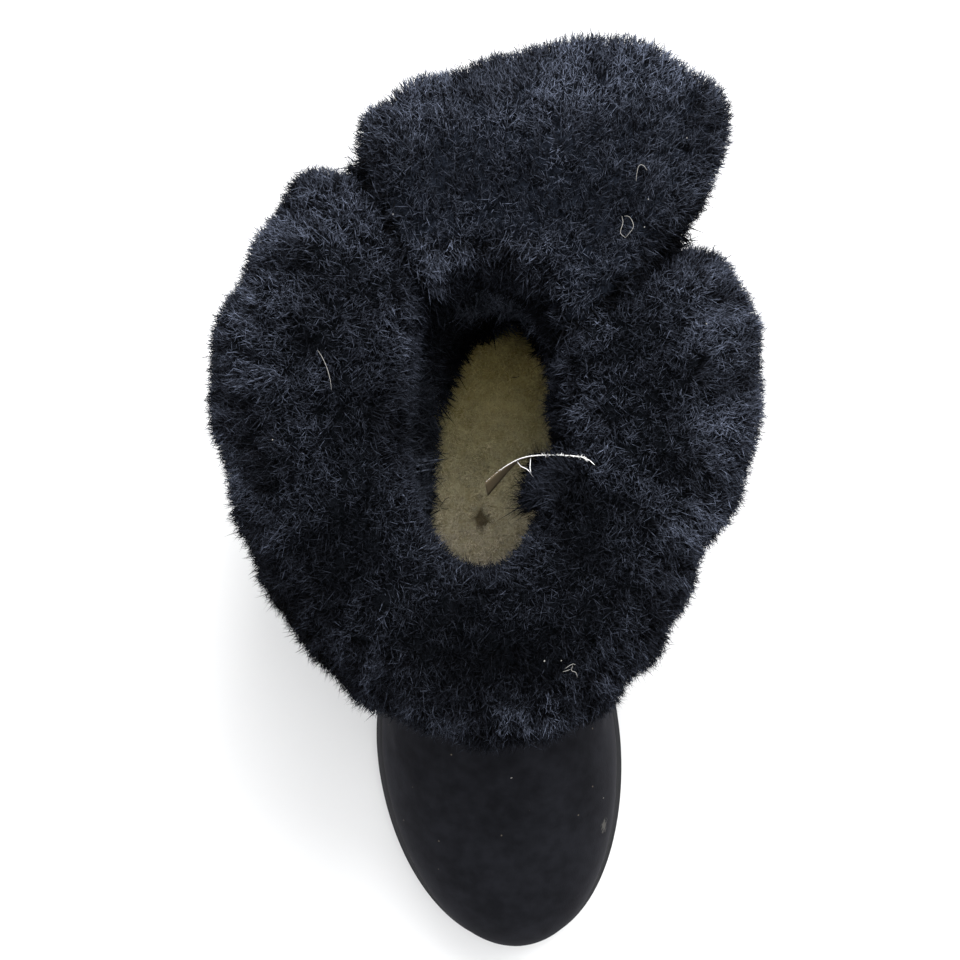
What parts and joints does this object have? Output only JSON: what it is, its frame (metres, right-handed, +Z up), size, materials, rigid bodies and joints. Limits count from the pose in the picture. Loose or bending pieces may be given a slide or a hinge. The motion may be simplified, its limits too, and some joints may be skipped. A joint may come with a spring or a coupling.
{
  "type": "sheepskin boot",
  "caption": "Short black suede boot for the right foot with a deep turned-down black wool cuff, a back flap, a cream wool insole and a moulded sole.",
  "frame": {"origin": "on the ground, at the middle of the flat spot under the heel", "axes": "+Z up, toes towards -Y and heel towards +Y, +X towards the inner side of the right foot"},
  "size_m": [0.1775, 0.3364, 0.1729],
  "materials": {
    "sole_foam": "moulded satin foam rubber",
    "cream_wool": "matted cream sheepskin wool",
    "black_suede": "brushed black suede",
    "counter_suede": "brushed black suede",
    "black_wool": "long soft black wool pile"
  },
  "bodies": {
    "root": {"outsole": "sole_foam", "insole": "cream_wool", "upper": "black_suede", "heel_counter": "counter_suede", "cuff_wrap": "black_wool", "cuff_flap": "black_wool"}
  },
  "joints": []
}
